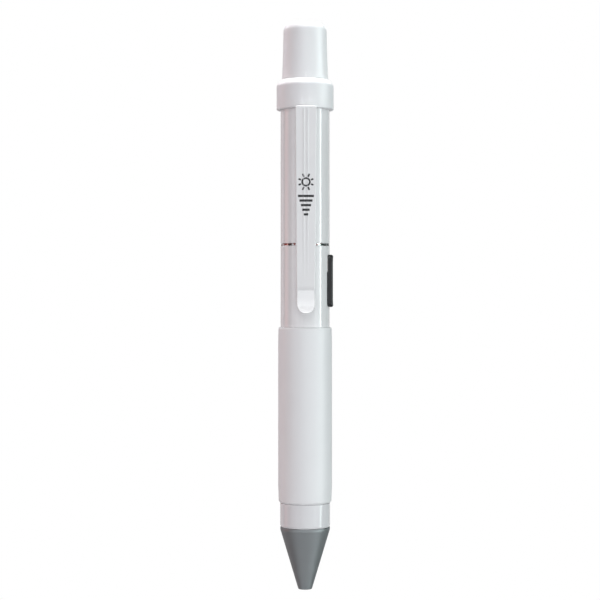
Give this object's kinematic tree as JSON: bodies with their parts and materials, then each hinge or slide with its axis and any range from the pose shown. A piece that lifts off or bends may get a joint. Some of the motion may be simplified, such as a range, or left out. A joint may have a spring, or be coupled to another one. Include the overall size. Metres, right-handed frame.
{
  "type": "dental curing light",
  "caption": "Pen-shaped cordless curing light with a tapered light tip, grip sleeve, side push button, pocket clip and a pull-off end knob over its charging port.",
  "frame": {"origin": "centre of the light exit, in the plane of the tip's end face", "axes": "+Z runs along the pen's axis from the tip to the end knob, -Y faces the pocket clip, +X faces the button"},
  "size_m": [0.0144, 0.0168, 0.144],
  "materials": {
    "satin_white": "satin",
    "gloss_white": "gloss",
    "grip_white": "matte soft-touch",
    "seam_metal": "polished, dark",
    "button_black": "matte",
    "nose_grey": "satin anodised",
    "clear_optic": "clear",
    "seal_black": "matte",
    "black_plastic": "matte",
    "tray_grey": "matte",
    "board_green": "solder mask",
    "chip_black": "moulded",
    "ferrite_grey": "sintered",
    "capacitor_tan": "ceramic",
    "sink_aluminium": "turned",
    "pad_grey": "soft",
    "led_yellow": "phosphor",
    "lead_red": "insulation",
    "steel": "brushed",
    "contact_brass": "plated",
    "cell_wrap": "shrink sleeve",
    "ribbon_amber": "polyimide"
  },
  "bodies": {
    "handpiece": {"clip_collar": "satin_white", "upper_barrel": "gloss_white", "lower_barrel": "gloss_white", "seam_ring": "seam_metal", "grip_sleeve": "grip_white", "front_ring": "gloss_white", "nose_o_ring": "seal_black", "collimator_lens": "clear_optic", "lens_retainer": "black_plastic", "led_emitter": "led_yellow", "led_board": "board_green", "thermal_pad": "pad_grey", "heat_sink": "sink_aluminium", "led_leads": "lead_red", "board_tray": "tray_grey", "main_board": "board_green", "board_screws": "steel", "driver_chip": "chip_black", "microcontroller": "chip_black", "power_inductor": "ferrite_grey", "capacitors": "capacitor_tan", "tact_switch": "steel", "cell_seat": "black_plastic", "cell_spring": "steel", "battery_cell": "cell_wrap", "cell_positive_cap": "steel", "tail_contact": "contact_brass", "contact_carrier": "black_plastic", "contact_pin": "contact_brass", "power_ribbon": "ribbon_amber", "charge_board": "board_green", "charge_chip": "chip_black", "usb_receptacle": "steel", "usb_tongue": "black_plastic", "tail_spigot": "tray_grey", "spigot_o_ring": "seal_black"},
    "button": {"button_cap": "button_black", "switch_stem": "black_plastic"},
    "end_cap": {"end_knob": "satin_white"},
    "nose": {"nose_cone": "nose_grey", "light_guide": "clear_optic", "guide_retainer": "black_plastic"},
    "clip": {"pocket_clip": "gloss_white"}
  },
  "joints": [
    {"name": "button_press", "type": "slide", "parent": "handpiece", "child": "button", "axis": [-1, 0, 0], "range_m": [0, 0.0006], "stiffness_N_per_m": 400, "springref_m": -0.002},
    {"name": "knob_pull", "type": "slide", "parent": "handpiece", "child": "end_cap", "axis": [0, 0, 1], "range_m": [0, 0.014]},
    {"name": "nose_pull", "type": "slide", "parent": "handpiece", "child": "nose", "axis": [0, 0, -1], "range_m": [0, 0.012]},
    {"name": "clip_flex", "type": "hinge", "parent": "handpiece", "child": "clip", "pos_m": [0, -0.0062, 0.12105], "axis": [-1, 0, 0], "range_deg": [0, 4], "stiffness_Nm_per_rad": 2}
  ]
}
